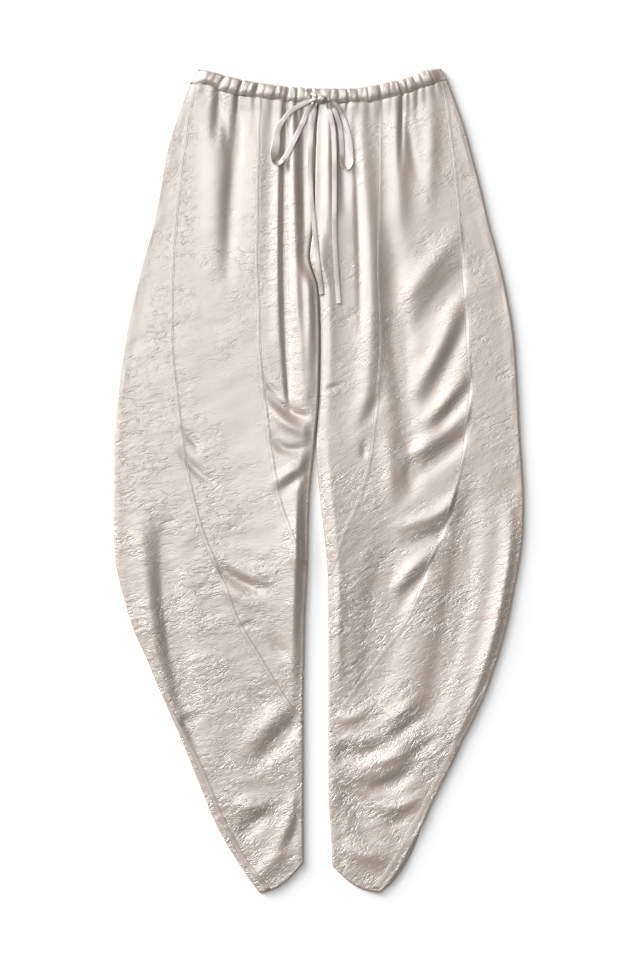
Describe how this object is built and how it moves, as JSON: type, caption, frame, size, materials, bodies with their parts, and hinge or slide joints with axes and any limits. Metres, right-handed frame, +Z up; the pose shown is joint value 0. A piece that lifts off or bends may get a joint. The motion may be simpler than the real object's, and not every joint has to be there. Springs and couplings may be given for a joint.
{
  "type": "drawstring trousers",
  "caption": "Barrel-leg trousers of crinkled satin laid flat, with curved seams, gathered elastic waist and a tied flat drawstring.",
  "frame": {"origin": "on the surface that the trousers lie on, under the middle of their outline", "axes": "+Y towards the waist, +X towards the wearer's left side as laid out, +Z up through the front of the garment"},
  "size_m": [0.5223, 1.0483, 0.0125],
  "materials": {
    "waistband_front": "crinkled satin, gathered",
    "waistband_back": "crinkled satin, gathered",
    "left_inner_panel": "crinkled satin",
    "left_front_panel": "crinkled satin",
    "left_side_panel": "crinkled satin",
    "left_back_panel": "crinkled satin",
    "right_inner_panel": "crinkled satin",
    "right_front_panel": "crinkled satin",
    "right_side_panel": "crinkled satin",
    "right_back_panel": "crinkled satin",
    "drawstring_left_end": "pressed satin strip",
    "drawstring_right_end": "pressed satin strip",
    "drawstring_left_loop": "pressed satin strip",
    "drawstring_right_loop": "pressed satin strip",
    "drawstring_lead": "pressed satin strip",
    "drawstring_knot": "pressed satin strip"
  },
  "bodies": {
    "root": {"waistband_front": "waistband_front", "waistband_back": "waistband_back", "left_inner_panel": "left_inner_panel", "left_front_panel": "left_front_panel", "left_side_panel": "left_side_panel", "left_back_panel": "left_back_panel", "right_inner_panel": "right_inner_panel", "right_front_panel": "right_front_panel", "right_side_panel": "right_side_panel", "right_back_panel": "right_back_panel", "drawstring_left_end": "drawstring_left_end", "drawstring_right_end": "drawstring_right_end", "drawstring_left_loop": "drawstring_left_loop", "drawstring_right_loop": "drawstring_right_loop", "drawstring_lead": "drawstring_lead", "drawstring_knot": "drawstring_knot"}
  },
  "joints": []
}
